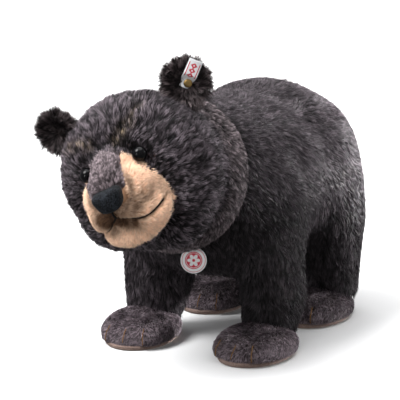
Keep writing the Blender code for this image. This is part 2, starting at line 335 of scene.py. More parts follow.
# body: the trunk, legs and tail run together
BODY_NODES = ["trunk", "tail", "leg_front_left", "leg_front_right", "leg_rear_left", "leg_rear_right"]
bm = bmesh.new()
for n in BODY_NODES:
    bm.from_mesh(frame["nodes"][n].data)
me = bpy.data.meshes.new("body_skin")
bm.to_mesh(me)
bm.free()
me.materials.clear()
body = bpy.data.objects.new("body_skin", me)
bpy.context.scene.collection.objects.link(body)
soften(body, 3.5, 26)
p, n = coords(body), normals(body)
depth = BODY_DEPTH - 1.6 * smooth01(p[:, 1], 30, 90) - 2.2 * smooth01(p[:, 2], 215, 240) * smooth01(-p[:, 1], 0, 45)
set_coords(body, p - n * depth[:, None])
p, n = coords(body), normals(body)
side = smooth01(np.abs(p[:, 0]), 45, 70) * smooth01(p[:, 2], 60, 95) * smooth01(-p[:, 2], -215, -170)
set_coords(body, p + n * (side * (1.6 * np.exp(-((p[:, 1] - 12) / 20) ** 2) - 3.0 * np.exp(-((p[:, 1] + 24) / 13) ** 2)))[:, None])
plug = balls_object("plug", [(NECK_CENTRE - NECK_AXIS * 14, (66, 34, 66), None)], 4)
bm = bmesh.new()
bm.from_mesh(body.data)
bm.from_mesh(plug.data)
bm.to_mesh(body.data)
bm.free()
bpy.data.objects.remove(plug)
soften(body, 3.5, 10)


def paw_lobes(where):
    x, y, s = PAWS[where]
    a = -PAW_TURN * s
    way = V([[math.cos(a), -math.sin(a), 0], [math.sin(a), math.cos(a), 0], [0, 0, 1]])
    c, low, d = V([x, y, 0.0]), 4.85, 2.4
    half_l, half_w, tall = 49.5, 38.5, 28
    items = [(c + way @ V([dx, -2, low + 5]), (half_w * 0.56 - d, half_l - 6 - d, tall - 8 - d), way)
             for dx in (-half_w * 0.45, 0, half_w * 0.45)]
    items.append((c + way @ V([0, 1, low + 1]), (half_w - d, half_l + 1 - d, tall - 8 - d), way))
    items.append((c + way @ V([0, 14, low + 6]), (half_w * 0.8 - d, half_l * 0.72 - d, tall - 2 - d), way))
    return items, way


paws, paw_way = {}, {}
for where in PAWS:
    items, paw_way[where] = paw_lobes(where)
    ob = balls_object("paw_skin_" + where, items)
    soften(ob, 2.4, 8)
    p = coords(ob)
    p[:, 2] = np.maximum(p[:, 2], 4.4)
    set_coords(ob, p)
    paws[where] = ob

ears = {}
EAR_NUDGE = {1: V([0, 0, 0.0]), -1: HEAD @ V([0, 1.4, 1.0])}
for side, s in (("left", 1), ("right", -1)):
    axes, c = ear_axes(s), on_head(EAR * V([1, s, 1]))
    c = c + EAR_NUDGE[s]
    ob = balls_object("ear_skin_" + side, [(c, (6.5, 18.5, 18.5), axes), (c + axes @ V([-1, -9 * s, -9]), (7.0, 16, 16), axes)])
    soften(ob, 1.8, 5)
    p = coords(ob)
    q = (p - c) @ axes
    rad = np.hypot(q[:, 1], q[:, 2])
    q[:, 0] -= 5.0 * smooth01(q[:, 0], -1, 3) * smooth01(-rad, -17, -6)
    set_coords(ob, q @ axes.T + c)
    ears[side] = ob
print("skins", {o.name: len(o.data.polygons) for o in [head, body, *paws.values(), *ears.values()]})


# ------------------------------------------------------------------ markings
def face_marks(h):
    """tan, bridge, brown and brow shares (0 to 1) at points of the head, and painted shade round the eyes and outside
    the muzzle.
    """
    f, l, u = h.T
    edge = mask_edge(l, u) - 2.9 + 0.6 * wobble(h, 9, 3)
    inside = smooth01(edge - np.hypot(l, u - 8), -1.2, 1.2) * smooth01(f, 36, 44)
    for e in EYES.values():
        inside = inside * smooth01(np.hypot(l - e[1], u - e[2]) + 0.4 * wobble(h, 6, 5), 7.4, 8.6)
    left = np.interp(f, [45, 52, 60, 76, 84], [10.0, 11.0, 11.0, 12.0, 11.5])
    right = np.interp(f, [45, 52, 60, 72, 84], [22.5, 25.0, 26.0, 23.5, 20.0])
    bridge = inside * smooth01(np.where(l > 0, left - l, right + l), -0.6, 0.6) * smooth01(u, 22, 25)
    tan = inside * (1 - bridge)
    below = mouth_height(l) - u
    along = smooth01(-np.abs(l - 4), -34, -8)
    brown = 1.2 * smooth01(below, -2.5, 1.0) * np.exp(-(np.maximum(below - 3, 0) / 7.2) ** 2) * np.exp(-((l + 2) / 15.5) ** 2)
    brown = np.maximum(brown, 0.85 * smooth01(below, -3, 0) * np.exp(-np.maximum(below - 1, 0) / 3.6) * along)
    brown = np.maximum(brown, 0.55 * np.exp(-(below / 2.2) ** 2) * smooth01(l, -32, -24) * smooth01(-l, -40, -34))
    brown = np.maximum(brown, 1.8 * np.exp(-(np.hypot((l + 12.5) / 1.6, u - 4.5) / 9.2) ** 2))
    brown = np.maximum(brown, 0.95 * np.exp(-(np.hypot((l - 12) / 1.7, u - 5) / 7.5) ** 2))
    brown = np.maximum(brown, 0.8 * np.exp(-((np.hypot((l + 2.8) / 1.15, u - 22) - 16) / 3.2) ** 2) * smooth01(-u, -40, -26))
    brown = np.maximum(brown, 1.15 * np.exp(-(np.hypot((l + 8) / 1.3, u + 0.5) / 8.0) ** 2))
    upper = np.exp(-(np.hypot((l - 17) / 1.9, u - 9) / 9.0) ** 2)
    brown = np.maximum(brown, (0.55 + 0.3 * wobble(h, 5, 8)) * upper)
    brown = np.clip(brown + 0.14 * wobble(h, 11, 4) * smooth01(-u, -30, 0), 0, 1) * tan
    brow = np.zeros(len(h))
    for s, line in ((1, [(44, 9.6, 54.4), (40.5, 15.3, 56), (34.3, 19.6, 59), (29, 24.2, 60.3), (16, 30, 62.5)]),
                    (-1, [(40, -15, 57.5), (36.5, -21, 57), (29.5, -31.5, 57), (22.5, -41, 54)])):
        pts = V(line, float)
        best = np.full(len(h), 1e9)
        for a0, b0 in zip(pts, pts[1:]):
            t = np.clip(((h - a0) @ (b0 - a0)) / ((b0 - a0) @ (b0 - a0)), 0, 1)
            best = np.minimum(best, np.linalg.norm((h - a0 - t[:, None] * (b0 - a0)) * V([0.6, 1, 0.8]), axis=1))
        brow = np.maximum(brow, (0.85 if s > 0 else 0.6) * np.exp(-(best / 4.2) ** 2))
    brow *= (1 - inside) * np.clip(0.65 + 0.5 * wobble(h, 7, 6), 0, 1)
    # painted shade in the eye sockets
    painted_shade_and_patches = np.zeros(len(h))
    for e in EYES.values():
        q = (h - e) * V([1, 1, 1.25])
        r = np.linalg.norm(q, axis=1)
        painted_shade_and_patches = np.maximum(painted_shade_and_patches, np.exp(-((r - 4) / 9.5) ** 2))
    # painted shade in a band just outside the muzzle, where the head falls back behind it
    painted_shade_and_patches = np.maximum(painted_shade_and_patches, 0.8 * np.exp(-((edge - np.hypot(l, u - 8) + 5) / 6.0) ** 2) * smooth01(f, 30, 44) * smooth01(u, -24, 10))
    return {"tan": tan, "bridge": bridge, "brown": brown, "brow": brow, "painted_shade_and_patches": painted_shade_and_patches * (1 - inside)}


# the fifth mark darkens the pile: painted shade, with some random dark patches
MARKS = ("tan", "bridge", "brown", "brow", "painted_shade_and_patches", "warm", "pale")


def put(ob, name, values):
    a = ob.data.attributes.new(name, "FLOAT", "POINT")
    a.data.foreach_set("value", np.asarray(values, np.float32))


def mark_skin(ob, marks):
    # the skin takes the dark root end of the painted shade along the blades
    put(ob, "shade", np.full(len(ob.data.vertices), 0.12))
    put(ob, "vary", np.full(len(ob.data.vertices), 0.5))
    for k in MARKS:
        put(ob, k, marks.get(k, np.zeros(len(ob.data.vertices))))


mark_skin(head, face_marks(in_head(coords(head))))
mark_skin(body, {})
for ob in paws.values():
    mark_skin(ob, {"warm": np.full(len(ob.data.vertices), 0.5)})
for ob in ears.values():
    mark_skin(ob, {"warm": np.full(len(ob.data.vertices), 1.0)})


# ---------------------------------------------------------------------- coat
class Skin:
    """Random roots on a skin, with its own normals."""

    def __init__(self, ob):
        self.p, self.n, self.t = coords(ob), normals(ob), triangles(ob)
        a, b, c = (self.p[self.t[:, i]] for i in range(3))
        self.area = np.linalg.norm(np.cross(b - a, c - a), axis=1) / 2
        self.mid = (a + b + c) / 3

    def roots(self, count, weight):
        w = self.area * weight(self.mid)
        self.each = float(self.area[w > 0].sum() / count)
        print("coat on", round(float(self.area[w > 0].sum())), "mm2,", round(self.each, 2), "per blade")
        pick = rng.choice(len(w), size=int(count), p=w / w.sum())
        r1, r2 = np.sqrt(rng.random(len(pick))), rng.random(len(pick))
        k = np.stack([1 - r1, r1 * (1 - r2), r1 * r2], 1)
        tri = self.t[pick]
        p = (self.p[tri] * k[:, :, None]).sum(1)
        n = unit((self.n[tri] * k[:, :, None]).sum(1))
        return p, n


def grow(p, n, way, length, rise, fall, width, clump=5.0, pull=0.4, swirl=0.5, seed=1, loose=0.16, each=1.0):
    """Blades from roots p: five points each. rise and fall are the angles off
    the skin at the root and at the tip, in radians. A lock is about `clump`
    across, and `each` is the skin per blade, in square millimetres."""
    m = len(p)
    way = way - (way * n).sum(1, keepdims=True) * n
    way = unit(way + 1e-6)
    side = np.cross(n, way)
    turn = swirl * wobble(p, 34, seed) + 0.35 * swirl * wobble(p, 12, seed + 1) + rng.normal(0, loose, m)
    d = way * np.cos(turn)[:, None] + side * np.sin(turn)[:, None]
    length = length * (1 + rng.normal(0, 0.14, m)).clip(0.5, 1.5)
    rise = rise + rng.normal(0, 0.10, m)
    fall = fall + rng.normal(0, 0.12, m)
    d0 = d * np.cos(rise)[:, None] + n * np.sin(rise)[:, None]
    d1 = d * np.cos(fall)[:, None] + n * np.sin(fall)[:, None]
    L = length[:, None]
    mid = p + L * (d0 * 0.5 + (d1 - d0) * 0.125)
    tip = p + L * (d0 + (d1 - d0) * 0.5)
    # locks: tips lean to the tip of the nearest leader
    leaders = rng.choice(m, size=max(4, int(m * min(1.0, each / clump ** 2))), replace=False)
    tree = KDTree(len(leaders))
    for i, j in enumerate(leaders):
        tree.insert(p[j], i)
    tree.balance()
    near = V([leaders[tree.find(q)[1]] for q in p])
    same = (n * n[near]).sum(1) > 0.5
    k = pull * rng.uniform(0.6, 1.2, m) * same
    tip = tip + k[:, None] * (tip[near] - tip)
    mid = mid + 0.35 * k[:, None] * (mid[near] - mid)
    lock = rng.random(m)[near]
    # each blade lies nearly flat, rolled a little about its own length
    along = unit(tip - p)
    across = unit(np.cross(n, along))
    up = np.cross(along, across)
    roll = rng.normal(0, 0.55, m)[:, None]
    across = across * np.cos(roll) + up * np.sin(roll)
    w = (width * (1 + rng.normal(0, 0.18, m)).clip(0.5, 1.6))[:, None]
    verts = np.stack([p - across * w * 0.42, p + across * w * 0.42,
                      mid - across * w * 0.5, mid + across * w * 0.5, tip], 1)
    return verts, lock


def coat(name, verts, lock, marks, uv, slot_name, material, spread=1.0):
    m = len(verts)
    if m * 3 > 199000:
        raise SystemExit(name + " has too many blades")
    me = bpy.data.meshes.new(name)
    flat = lay(verts.reshape(-1, 3))
    flat[:, 2] = np.maximum(flat[:, 2], 0.0006)
    me.vertices.add(m * 5)
    me.vertices.foreach_set("co", flat.astype(np.float32).ravel())
    base = np.arange(m)[:, None] * 5
    loops = np.concatenate([base + V([0, 1, 3, 2]), base + V([2, 3, 4])], 1).astype(np.int32)
    me.loops.add(m * 7)
    me.loops.foreach_set("vertex_index", loops.ravel())
    me.polygons.add(m * 2)
    starts = (np.arange(m)[:, None] * 7 + V([0, 4])).astype(np.int32)
    me.polygons.foreach_set("loop_start", starts.ravel())
    me.update(calc_edges=True)
    me.validate()
    me.shade_smooth()
    # every blade is a small patch at its root's place
    r = 0.0016
    corner = V([[-r, -r], [r, -r], [-r, 0.1 * r], [r, 0.1 * r], [0, r]])
    root = np.clip(uv, 0.002, 0.998)
    patch = root[:, None, :] + corner[None]
    layer = me.uv_layers.new(name="OFBake")
    layer.data.foreach_set("uv", patch.reshape(-1, 2)[loops.ravel()].astype(np.float32).ravel())
    ob = bpy.data.objects.new(name, me)
    bpy.context.scene.collection.objects.link(ob)
    # painted shade and sheen along each blade: dark at the root, light at the tip
    put(ob, "shade", np.tile([0.0, 0.0, 0.55, 0.55, 1.0], m))
    put(ob, "vary", np.repeat(0.5 + spread * (0.72 * lock + 0.28 * rng.random(m) - 0.5), 5))
    for k in MARKS:
        v = marks.get(k)
        put(ob, k, np.zeros(m * 5) if v is None else np.repeat(v, 5))
    me.materials.append(material)
    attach(ob, "root")
    return ob


def dome(q, half_angle, stretch=(0.48, 0.48), middle=(0.5, 0.5)):
    """Unrolls a dome about its third axis: q is relative to its centre."""
    r = np.linalg.norm(q, axis=1)
    t = np.arccos(np.clip(q[:, 2] / np.maximum(r, 1e-6), -1, 1)) / half_angle
    t = np.minimum(t, 1.0)
    a = np.arctan2(q[:, 1], q[:, 0])
    return np.stack([middle[0] + stretch[0] * t * np.cos(a), middle[1] + stretch[1] * t * np.sin(a)], 1)


# ----------------------------------------------------------------- materials
def nodes_of(name):
    m = bpy.data.materials.new(name)
    m.use_nodes = True
    t = m.node_tree
    return m, t.nodes, t.links, t.nodes["Principled BSDF"]


def value(nodes, name):
    a = nodes.new("ShaderNodeAttribute")
    a.attribute_type, a.attribute_name = "GEOMETRY", name
    return a.outputs["Fac"]


def mixed(nodes, links, factor, a, b, kind="MIX"):
    m = nodes.new("ShaderNodeMix")
    m.data_type, m.blend_type = "RGBA", kind
    for socket, v in ((m.inputs[0], factor), (m.inputs[6], a), (m.inputs[7], b)):
        if isinstance(v, bpy.types.NodeSocket):
            links.new(v, socket)
        elif isinstance(v, tuple):
            socket.default_value = (*v, 1)
        else:
            socket.default_value = v
    return m.outputs[2]


def ramp(nodes, links, factor, stops):
    r = nodes.new("ShaderNodeValToRGB")
    links.new(factor, r.inputs[0])
    e = r.color_ramp.elements
    while len(e) > 1:
        e.remove(e[-1])
    for i, (at, c) in enumerate(stops):
        k = e[0] if i == 0 else e.new(at)
        k.position = at
        k.color = (*c, 1) if isinstance(c, tuple) else (c, c, c, 1)
    return r.outputs[0]


def pile(name, dark, light, vary=(0.55, 1.0, 1.5), rough=0.55, sheen=0.25, warm=(0.074, 0.058, 0.056)):
    """Mohair: dark at the root and lighter at the tip, a painted shade deep in the pile and a painted sheen on the
    tips; each strand its own tone.
    """
    m, n, l, bsdf = nodes_of(name)
    shade, tone = value(n, "shade"), value(n, "vary")
    base = ramp(n, l, shade, [(0.0, dark), (0.45, tuple(0.45 * a + 0.55 * b for a, b in zip(light, dark))), (1.0, light)])
    tan = ramp(n, l, shade, [(0.0, (0.62, 0.33, 0.18)), (0.4, (0.92, 0.60, 0.40)), (1.0, (0.99, 0.73, 0.55))])
    brown = ramp(n, l, shade, [(0.0, (0.022, 0.010, 0.006)), (0.5, (0.05, 0.024, 0.013)), (1.0, (0.135, 0.072, 0.038))])
    gold = ramp(n, l, shade, [(0.0, (0.018, 0.013, 0.006)), (1.0, (0.095, 0.070, 0.036))])
    bridge = ramp(n, l, shade, [(0.0, (0.020, 0.015, 0.016)), (1.0, (0.225, 0.182, 0.195))])
    warmed = ramp(n, l, shade, [(0.0, tuple(0.5 * c for c in warm)), (1.0, tuple(2.0 * c for c in warm))])
    soft = ramp(n, l, shade, [(0.0, (0.012, 0.0096, 0.0105)), (1.0, (0.158, 0.129, 0.137))])
    c = mixed(n, l, value(n, "warm"), base, warmed)
    c = mixed(n, l, value(n, "pale"), c, soft)
    c = mixed(n, l, value(n, "bridge"), c, bridge)
    c = mixed(n, l, value(n, "brow"), c, gold)
    c = mixed(n, l, value(n, "tan"), c, tan)
    c = mixed(n, l, value(n, "brown"), c, brown)
    # painted shade: the colour is darkened where the shade mark is set
    painted_shade_colour = mixed(n, l, 0.85, c, (0.2, 0.2, 0.2), "MULTIPLY")
    c = mixed(n, l, value(n, "painted_shade_and_patches"), c, painted_shade_colour)
    bright = ramp(n, l, tone, [(at, v / 4) for at, v in zip((0.08, 0.5, 0.92), vary)])
    four = mixed(n, l, 1.0, c, (4.0, 4.0, 4.0), "MULTIPLY")
    c = mixed(n, l, 1.0, four, bright, "MULTIPLY")
    l.new(c, bsdf.inputs["Base Color"])
    bsdf.inputs["Roughness"].default_value = rough
    bsdf.inputs["Specular IOR Level"].default_value = 0.14
    bsdf.inputs["Sheen Weight"].default_value = sheen
    bsdf.inputs["Sheen Roughness"].default_value = 0.45
    bsdf.inputs["Sheen Tint"].default_value = (0.80, 0.76, 0.80, 1)
    return m


long_pile = pile("mohair_long", (0.0015, 0.0012, 0.0014), (0.070, 0.0578, 0.0658), (0.08, 0.74, 4.6), 0.45, 0.02)
short_pile = pile("mohair_short", (0.012, 0.0098, 0.0105), (0.275, 0.222, 0.250), (0.20, 0.85, 2.4), 0.5, 0.02)
tan_pile = pile("mohair_tan", (0.006, 0.0055, 0.006), (0.072, 0.066, 0.070), (0.78, 1.0, 1.1), 0.65, 0.05)
skin_pile = pile("backing", (0.0025, 0.0022, 0.0025), (0.02, 0.018, 0.019), (1.0, 1.0, 1.0), 0.8, 0.0)
for ob in [head, body, *paws.values(), *ears.values()]:
    ob.data.materials.clear()
    ob.data.materials.append(skin_pile)
    ob.data.shade_smooth()


def felt(name, dark, light, size=900, bump=0.4, sheen=0.3, band=(0.5, 1.0)):
    m, n, l, bsdf = nodes_of(name)
    tc = n.new("ShaderNodeTexCoord")
    a = n.new("ShaderNodeTexNoise")
    a.inputs["Scale"].default_value, a.inputs["Detail"].default_value = size, 5
    b = n.new("ShaderNodeTexNoise")
    b.inputs["Scale"].default_value, b.inputs["Detail"].default_value = size / 9, 3
    for x in (a, b):
        l.new(tc.outputs["Object"], x.inputs["Vector"])
    both = n.new("ShaderNodeMath")
    both.operation = "MULTIPLY_ADD"
    l.new(b.outputs["Fac"], both.inputs[0])
    both.inputs[1].default_value = 0.5
    l.new(a.outputs["Fac"], both.inputs[2])
    c = ramp(n, l, both.outputs[0], [(band[0], dark), (band[1], light)])
    l.new(c, bsdf.inputs["Base Color"])
    bp = n.new("ShaderNodeBump")
    bp.inputs["Strength"].default_value, bp.inputs["Distance"].default_value = bump, 0.0006
    l.new(both.outputs[0], bp.inputs["Height"])
    l.new(bp.outputs["Normal"], bsdf.inputs["Normal"])
    bsdf.inputs["Roughness"].default_value = 0.85
    bsdf.inputs["Sheen Weight"].default_value = sheen
    bsdf.inputs["Sheen Roughness"].default_value = 0.4
    return m


nose_felt = felt("nose_felt", (0.001, 0.0013, 0.002), (0.022, 0.026, 0.033), 900, 1.0, 0.05, (0.66, 0.92))
nose_felt.node_tree.nodes["Principled BSDF"].inputs["Specular IOR Level"].default_value = 0.15
sole_felt = felt("sole_felt", (0.12, 0.074, 0.060), (0.27, 0.19, 0.16), 800, 0.7, 0.15)


def plain(name, colour, rough, metal=0.0, bump=None, spec=0.5, coat=0.0, sheen=0.0):
    m, n, l, bsdf = nodes_of(name)
    tc = n.new("ShaderNodeTexCoord")
    a = n.new("ShaderNodeTexNoise")
    a.inputs["Scale"].default_value = bump[0] if bump else 400
    a.inputs["Detail"].default_value = 4
    l.new(tc.outputs["Object"], a.inputs["Vector"])
    c = ramp(n, l, a.outputs["Fac"], [(0.3, tuple(0.86 * x for x in colour)), (0.7, colour)])
    l.new(c, bsdf.inputs["Base Color"])
    if bump:
        bp = n.new("ShaderNodeBump")
        bp.inputs["Strength"].default_value, bp.inputs["Distance"].default_value = bump[1], bump[2]
        l.new(a.outputs["Fac"], bp.inputs["Height"])
        l.new(bp.outputs["Normal"], bsdf.inputs["Normal"])
    bsdf.inputs["Roughness"].default_value = rough
    bsdf.inputs["Metallic"].default_value = metal
    bsdf.inputs["Specular IOR Level"].default_value = spec
    bsdf.inputs["Coat Weight"].default_value = coat
    bsdf.inputs["Coat Roughness"].default_value = 0.04
    bsdf.inputs["Sheen Weight"].default_value = sheen
    return m


glass = plain("black_glass", (0.0015, 0.0015, 0.002), 0.03, spec=0.16)
brass = plain("rivet_brass", (0.44, 0.29, 0.11), 0.28, 1.0, (500, 0.15, 0.0003))
cloth_white = plain("tag_cloth_white", (0.84, 0.84, 0.86), 0.7, 0.0, (2500, 0.35, 0.0002), sheen=0.2)
cloth_red = plain("tag_cloth_red", (0.62, 0.018, 0.045), 0.7, 0.0, (2500, 0.35, 0.0002))
card_white = plain("tag_card_white", (0.85, 0.84, 0.85), 0.35, 0.0, (1200, 0.05, 0.0001), coat=0.4)
card_red = plain("tag_card_red", (0.60, 0.012, 0.040), 0.35, 0.0, (1200, 0.05, 0.0001), coat=0.4)
thread_black = plain("thread_black", (0.003, 0.003, 0.0032), 0.6, 0.0, (1500, 0.5, 0.0003), spec=0.2)
thread_ochre = plain("thread_ochre", (0.19, 0.10, 0.040), 0.7, 0.0, (1500, 0.5, 0.0003), spec=0.2)


# ---------------------------------------------------------- coats by region
DOWN = V([0, 0, -1.0])
HEAD_DOWN = DOWN @ HEAD                      # straight down, in head terms


def gap_from(p, c):
    return np.linalg.norm(p - c, axis=1)


# --- head
skin = Skin(head)
neck_in = lambda p: ((p - (NECK_CENTRE + NECK_AXIS * 3)) @ NECK_AXIS)


def head_weight(p):
    h = in_head(p)
    m = face_marks(h)
    w = np.where(neck_in(p) > -6, 1.0, 0.0)
    nose = (np.abs(h[:, 1] + 2.8) < 13.5) & (np.abs(h[:, 2] - 21.9) < 8.5) & (h[:, 0] > 78)
    w = np.where(nose, 0.0, w)
    return w * (1 + 1.6 * (m["tan"] + m["bridge"]) + 0.5 * smooth01(h[:, 0], 0, 60))


p, n = skin.roots(150000 * SHARE, head_weight)
h = in_head(p)
marks = face_marks(h)
rear = neck_in(p)
away = unit(h - V([100, 0, 16.0]))
fallen = smooth01(-h[:, 0], -20, 40)
way = unit(away * (1 - 0.4 * fallen)[:, None] + HEAD_DOWN * (0.75 * fallen)[:, None] + V([-0.35, 0, 0]) * fallen[:, None])
on_face = marks["tan"] + marks["bridge"] > rng.random(len(p))
bridge_pick = marks["bridge"] > marks["tan"]
# length grows from the mask and the eyes outwards
past_mask = np.hypot(h[:, 1], h[:, 2] - 8) - mask_edge(h[:, 1], h[:, 2])
grown = smooth01(past_mask + 0.9 * np.maximum(40 - h[:, 0], 0), 0, 34)
eye_gap = np.minimum(gap_from(h, EYES[1]), gap_from(h, EYES[-1]))
length = (5.8 + 4.6 * grown) * (1 + 0.20 * grown * wobble(p, 7, 35))
length *= 0.55 + 0.45 * smooth01(eye_gap, 7, 20)
rise = np.radians(32 + 18 * grown)
fall = np.radians(8 + 4 * grown)
# the ruff: short dense pile on the ridge round the back of the head, which
# runs down along the ridge, with a shallow valley inside it that gets painted shade
rq = (p - NECK_CENTRE) @ NECK_TURN
ring_r, ring_a = np.hypot(rq[:, 0], rq[:, 2]), -rq[:, 1]
ruff = smooth01(-ring_a, -40, -36)
valley = np.exp(-((ring_a - 41) / 4.0) ** 2)
ruff_way = unit(V([0, 0, -1.0]) - 0.35 * NECK_AXIS) @ HEAD
way = unit(way * (1 - ruff)[:, None] + ruff_way * ruff[:, None])
length = length * (1 - ruff) + 5.6 * ruff
length *= 1 - 0.3 * valley
rise = rise * (1 - ruff) + np.radians(46) * ruff
# painted shade in the valley inside the ruff
marks["painted_shade_and_patches"] = np.maximum(marks["painted_shade_and_patches"], 0.6 * valley)
marks["painted_shade_and_patches"] = np.maximum(marks["painted_shade_and_patches"], 0.6 * smooth01(wobble(p, 13, 71), 0.15, 0.75) * (1 - ruff))
# painted shade round the feet of the ears
for s in (1, -1):
    foot = np.linalg.norm(p - on_head(EAR * V([1, s, 1])) - EAR_NUDGE[s], axis=1)
    marks["painted_shade_and_patches"] = np.maximum(marks["painted_shade_and_patches"], 0.8 * smooth01(-foot, -54, -38))
marks["pale"] = ruff
dark_pick = ~on_face & (eye_gap > EYE_RADIUS - 0.6)
for side, s in (("left", 1), ("right", -1)):
    k = dark_pick & (h[:, 1] * s >= 0)
    v, lock = grow(p[k], n[k], way[k] @ HEAD.T, length[k], rise[k], fall[k], 0.43, 2.1, 0.50, 0.55, 11, 0.20, skin.each)
    r = np.linalg.norm(h[k], axis=1)
    uv = np.stack([np.arccos(np.clip(h[k, 0] / r, -1, 1)) / math.pi,
                   np.arctan2(h[k, 1] * s, h[k, 2]) / math.pi], 1)
    coat("coat_head_" + side, v, lock, {q: w[k] * (q in ("brow", "painted_shade_and_patches", "pale")) for q, w in marks.items()},
         uv, "long_pile", long_pile, 1.32 - 0.75 * ruff[k])
lip = np.abs(mouth_height(h[:, 1]) - h[:, 2]) + 20 * (h[:, 0] < 60)
lip = np.minimum(lip, np.hypot(h[:, 1] + 5, np.maximum(np.maximum(h[:, 2] - 12, 1 - h[:, 2]), 0)) + 20 * (h[:, 0] < 60))
short = 0.35 + 0.65 * smooth01(lip, 1.0, 5.0)
k = on_face & ~bridge_pick & (eye_gap > EYE_RADIUS - 0.6)
way_m = unit(away + 0.25 * HEAD_DOWN * smooth01(-h[:, 2], -10, 30)[:, None])
v, lock = grow(p[k], n[k], way_m[k] @ HEAD.T, 4.6 * short[k], np.radians(np.full(k.sum(), 42)),
               np.radians(np.full(k.sum(), 16)), 0.42, 1.9, 0.42, 0.7, 23, 0.26, skin.each)
muzzle_c = V([22, 0, 6.0])
unrolled = dome((h - muzzle_c)[:, [1, 2, 0]], math.radians(84))
coat("coat_muzzle", v, lock, {q: w[k] * (q in ("tan", "brown")) for q, w in marks.items()} | {"tan": np.ones(k.sum())},
     unrolled[k], "tan_pile", tan_pile)
k = on_face & bridge_pick & (eye_gap > EYE_RADIUS - 0.6)
v, lock = grow(p[k], n[k], away[k] @ HEAD.T, np.full(k.sum(), 4.0), np.radians(np.full(k.sum(), 45)),
               np.radians(np.full(k.sum(), 20)), 0.5, 2.2, 0.45, 0.5, 29, 0.25, skin.each)
hb = h[k]
uv_b = np.stack([(hb[:, 1] + 19) / 38, (hb[:, 0] - 34) / 62], 1)
coat("coat_bridge", v, lock, {"bridge": np.ones(k.sum())}, uv_b, "short_pile", short_pile)

# --- ears
for side, s in (("left", 1), ("right", -1)):
    skin = Skin(ears[side])
    axes, c = ear_axes(s), on_head(EAR * V([1, s, 1])) + EAR_NUDGE[s]
    p, n = skin.roots(13000 * SHARE, lambda x: 1 + 1.2 * smooth01(np.linalg.norm((x - c) @ axes * V([0, 1, 1]), axis=1), 12, 20))
    q = (p - c) @ axes
    rad = np.hypot(q[:, 1], q[:, 2])
    out = unit(q * V([0, 1, 1]) + V([0, 0, 0.3]))
    rim = smooth01(rad, 13, 20)
    way = unit(out + V([0.25, 0, 0]) * (rim * (q[:, 0] > 0))[:, None] + V([-0.3, 0, 0]) * (q[:, 0] < 0)[:, None])
    tall = (7.6 + 4.8 * rim) * (1 + 0.22 * wobble(p, 5, 33))
    v, lock = grow(p, n, way @ axes.T, tall, np.radians(46 - 14 * rim), np.radians(24 - 2 * rim), 0.42, 1.6, 0.42, 0.5, 31, 0.22, skin.each)
    uv = dome(q[:, [1, 2, 0]], math.pi, (0.23, 0.47))
    uv = np.stack([uv[:, 0] / 1.0, uv[:, 1]], 1)
    uv[:, 0] = (uv[:, 0] - 0.5) * 2 * 0.98 + 0.5
    # painted shade in the ear cups, less on the rims and more on the right ear
    coat("coat_ear_" + side, v, lock, {"warm": np.full(len(p), 0.45), "painted_shade_and_patches": (0.7 if s < 0 else 0.5) - 0.25 * rim}, uv, "long_pile", long_pile)

# --- body
skin = Skin(body)
LEG_MID = {w: (PAWS[w][0], PAWS[w][1] + 28) for w in PAWS}


def body_weight(p):
    w = np.ones(len(p))
    w[neck_in(p) > -4] = 0                                     # inside the head
    w[p[:, 2] < 24] = 0                                        # inside the paws
    x, y, z = p.T
    inner = smooth01(z, 60, 100) * smooth01(-z, -135, -110)    # belly
    return w * (1 - 0.35 * inner * (np.abs(x) < 40))


def body_way(p):
    x, y, z = p.T
    top = smooth01(z, 196, 240)
    rear = smooth01(y, 95, 150)
    low = smooth01(-z, -150, -95)
    s = np.sign(x + 1e-6)
    d = np.stack([0.25 * s * top, 0.55 - 0.5 * rear, -0.85 + 0 * x], 1)
    d = d * (1 - top)[:, None] + V([0, 1.0, -0.12]) * top[:, None] + np.stack([0.35 * s * top, 0 * x, 0 * x], 1)
    leg = np.stack([0 * x, 0.10 + 0 * x, -1 + 0 * x], 1)
    return unit(d * (1 - low)[:, None] + leg * low[:, None])


def zone_of(p):
    x, y, z = p.T
    return np.where(z > 128, 0, np.where(y < 25, 1, 2))        # trunk, front, rear legs


p, n = skin.roots(222000 * SHARE, body_weight)
x, y, z = p.T
zone = zone_of(p)
way = body_way(p)
neck_gap = -neck_in(p)
# the groove behind the ruff: shorter fur, and painted shade in it
groove = smooth01(-neck_gap, -26, -6) * (np.hypot(*((p - NECK_CENTRE) @ NECK_TURN)[:, [0, 2]].T) > 52)
length = 9.6 - 4.2 * groove
# random dark patches, and painted shade on the top of the back ahead of the rump
painted_back_shade_and_patches = 0.4 * smooth01(wobble(p, 17, 72), 0.2, 0.8)
painted_back_shade_and_patches = np.maximum(painted_back_shade_and_patches, 0.42 * smooth01(z, 175, 210) * smooth01(-y, -105, -60))
heel = np.zeros(len(p))
for w, (lx, ly) in LEG_MID.items():
    close = (np.abs(x - lx) < 48) & (np.abs(y - ly) < 60)
    heel = np.maximum(heel, close * smooth01(y - ly, 4, 22) * smooth01(-z, -75, -40))
length = length + 6.0 * heel
